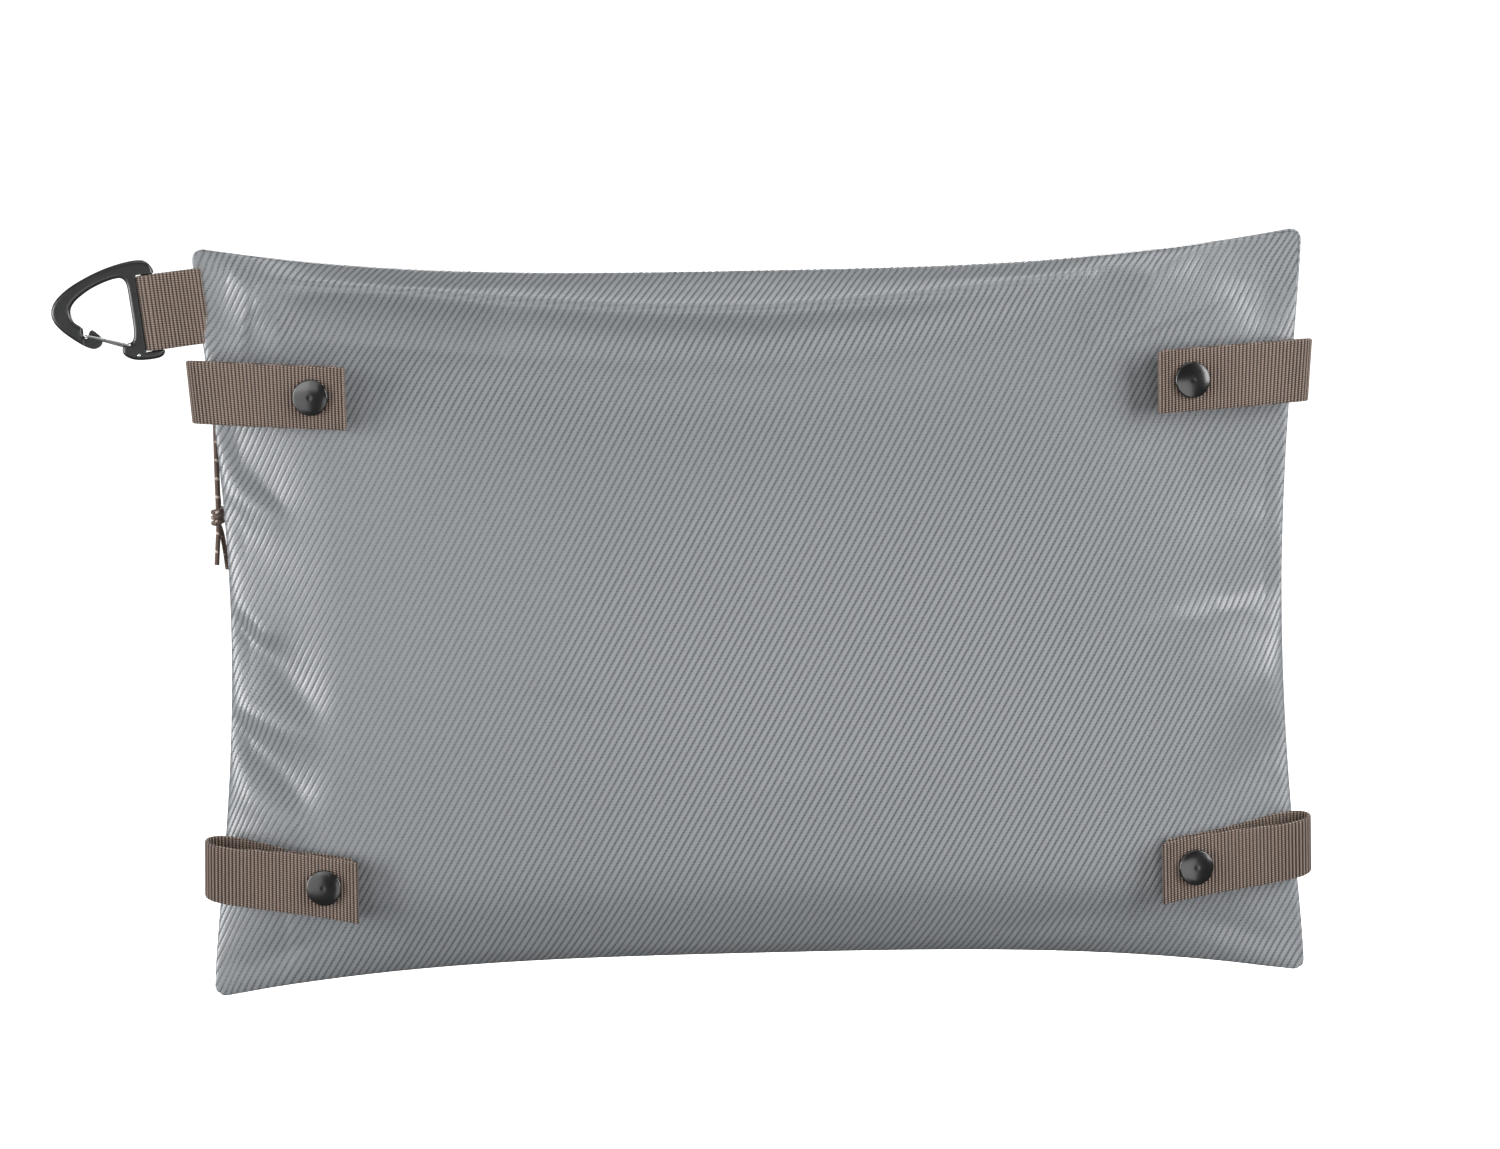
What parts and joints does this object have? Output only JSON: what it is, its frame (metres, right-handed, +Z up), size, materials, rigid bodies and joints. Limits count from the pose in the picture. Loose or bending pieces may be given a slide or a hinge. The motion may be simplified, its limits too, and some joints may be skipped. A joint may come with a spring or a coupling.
{
  "type": "zippered mail pouch",
  "caption": "Flat zippered mail pouch of ribbed coated fabric with snap strap loops on its back, a corner carabiner on a webbing tab and a cord zip pull.",
  "frame": {"origin": "the middle of the back panel, where the pouch lies against what its four straps hold it to", "axes": "+X across the pouch, to the right as its back is seen; +Y from the back to the zip side; +Z up"},
  "size_m": [0.5013, 0.046, 0.3],
  "materials": {
    "coated_fabric": "semi-gloss coated twill with raised diagonal ribs",
    "binding": "matte binding tape",
    "zip_tape": "matte woven tape",
    "zip_coil": "satin nylon coil",
    "zip_metal": "black lacquered slider",
    "snap_black": "glossy black lacquer",
    "webbing": "brown ribbed webbing",
    "carabiner_black": "satin black anodised aluminium",
    "gate_wire": "polished spring wire",
    "cord": "braided cord with light flecks"
  },
  "bodies": {
    "pouch": {"back_panel": "coated_fabric", "front_upper_panel": "coated_fabric", "front_lower_panel": "coated_fabric", "seam_binding": "binding", "zip_tape_upper": "zip_tape", "zip_tape_lower": "zip_tape", "zip_coil_upper": "zip_coil", "zip_coil_lower": "zip_coil", "zip_end_cover_left": "coated_fabric", "zip_end_cover_right": "coated_fabric", "snap_studs": "snap_black", "snap_eyelets": "snap_black", "tab_anchor": "webbing", "strap_base_upper_left": "webbing", "strap_base_upper_right": "webbing", "strap_base_lower_left": "webbing", "strap_base_lower_right": "webbing", "strap_fold_upper_left": "webbing", "strap_fold_upper_right": "webbing", "strap_fold_lower_left": "webbing", "strap_fold_lower_right": "webbing"},
    "strap_upper_left": {"strap_flap_upper_left": "webbing", "snap_cap_upper_left": "snap_black", "snap_socket_upper_left": "snap_black"},
    "strap_upper_right": {"strap_flap_upper_right": "webbing", "snap_cap_upper_right": "snap_black", "snap_socket_upper_right": "snap_black"},
    "strap_lower_left": {"strap_flap_lower_left": "webbing", "snap_cap_lower_left": "snap_black", "snap_socket_lower_left": "snap_black"},
    "strap_lower_right": {"strap_flap_lower_right": "webbing", "snap_cap_lower_right": "snap_black", "snap_socket_lower_right": "snap_black"},
    "tab": {"carabiner_tab": "webbing"},
    "carabiner": {"carabiner_frame": "carabiner_black"},
    "gate": {"carabiner_gate": "gate_wire"},
    "slider": {"zip_slider": "zip_metal"},
    "pull": {"zip_pull_tab": "zip_metal"},
    "cord": {"pull_cord_front": "cord", "pull_cord_back": "cord"}
  },
  "joints": [
    {"name": "strap_upper_left_open", "type": "hinge", "parent": "pouch", "child": "strap_upper_left", "pos_m": [-0.21948, 0.01744, 0.09403], "axis": [-0.0428, 0.0083, -0.999], "range_deg": [0, 150], "deforming": ["strap_fold_upper_left"]},
    {"name": "strap_upper_right_open", "type": "hinge", "parent": "pouch", "child": "strap_upper_right", "pos_m": [0.21948, 0.01744, 0.09403], "axis": [-0.0428, -0.0083, 0.999], "range_deg": [0, 150], "deforming": ["strap_fold_upper_right"]},
    {"name": "strap_lower_left_open", "type": "hinge", "parent": "pouch", "child": "strap_lower_left", "pos_m": [-0.21916, 0.01769, -0.09713], "axis": [-0.1451, 0.0282, -0.989], "range_deg": [0, 150], "deforming": ["strap_fold_lower_left"]},
    {"name": "strap_lower_right_open", "type": "hinge", "parent": "pouch", "child": "strap_lower_right", "pos_m": [0.21916, 0.01769, -0.09713], "axis": [-0.1451, -0.0282, 0.989], "range_deg": [0, 150], "deforming": ["strap_fold_lower_right"]},
    {"name": "tab_swing", "type": "hinge", "parent": "pouch", "child": "tab", "pos_m": [-0.21899, 0.024, 0.12811], "axis": [-0.1132, 0, 0.9936], "range_deg": [-70, 70]},
    {"name": "carabiner_swing", "type": "hinge", "parent": "tab", "child": "carabiner", "pos_m": [-0.2375, 0.024, 0.126], "axis": [-0.1132, 0, 0.9936], "range_deg": [-95, 95]},
    {"name": "gate_open", "type": "hinge", "parent": "carabiner", "child": "gate", "pos_m": [-0.24612, 0.024, 0.11153], "axis": [0, 1, 0], "range_deg": [0, 38], "stiffness_Nm_per_rad": 0.05},
    {"name": "zip_slide", "type": "slide", "parent": "pouch", "child": "slider", "axis": [1, 0, 0], "range_m": [0, 0.4], "deforming": ["zip_coil_upper", "zip_coil_lower", "pull_cord_front", "pull_cord_back"]},
    {"name": "pull_flip", "type": "hinge", "parent": "slider", "child": "pull", "pos_m": [-0.203, 0.0387, 0.102], "axis": [0, 0, -1], "range_deg": [0, 180]},
    {"name": "cord_swing", "type": "hinge", "parent": "pull", "child": "cord", "pos_m": [-0.215, 0.0387, 0.102], "axis": [0, 1, 0], "range_deg": [-25, 90]}
  ]
}
